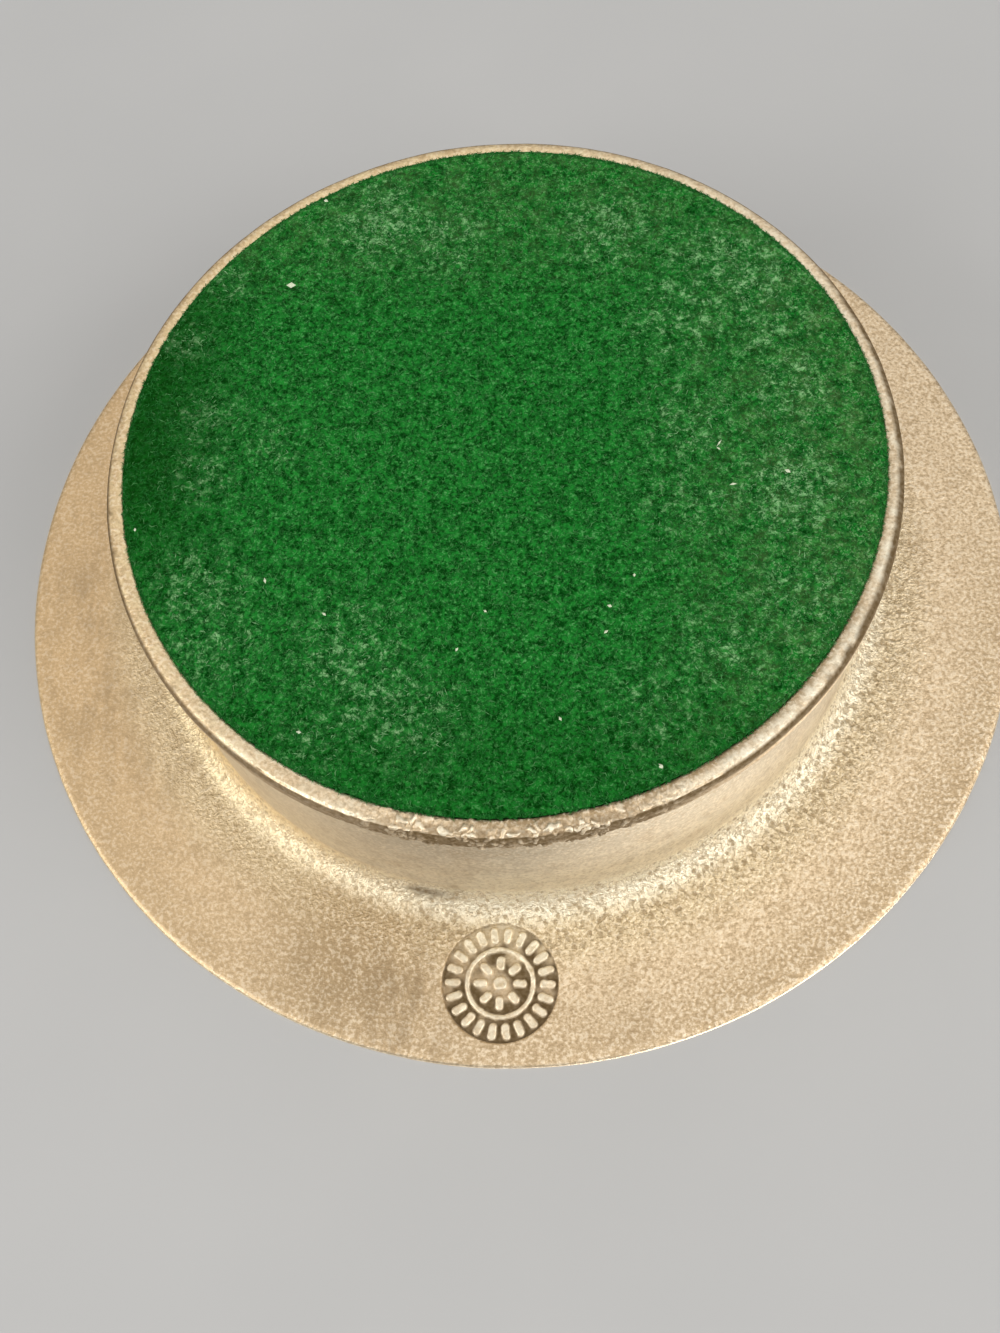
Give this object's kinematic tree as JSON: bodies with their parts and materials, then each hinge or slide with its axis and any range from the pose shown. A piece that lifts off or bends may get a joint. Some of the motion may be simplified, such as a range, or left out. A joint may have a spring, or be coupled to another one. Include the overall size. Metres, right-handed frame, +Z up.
{
  "type": "wine bottle coaster",
  "caption": "Round cast metal bottle coaster: a straight-walled cup with a beaded foot and a broad flat flange, standing on a green felt disc.",
  "frame": {"origin": "on the table under the middle of the felt, as the coaster stands in use", "axes": "+Z up along the axis of the well; the roundel under the flange lies towards -Y"},
  "size_m": [0.165, 0.165, 0.0401],
  "materials": {
    "cast_metal": "sand-cast satin with buffed edges and darkened pits",
    "felt": "pressed wool felt with a worn nap",
    "adhesive": "dried translucent adhesive"
  },
  "bodies": {
    "root": {"cast_body": "cast_metal", "felt_pad": "felt", "adhesive_film": "adhesive"}
  },
  "joints": []
}
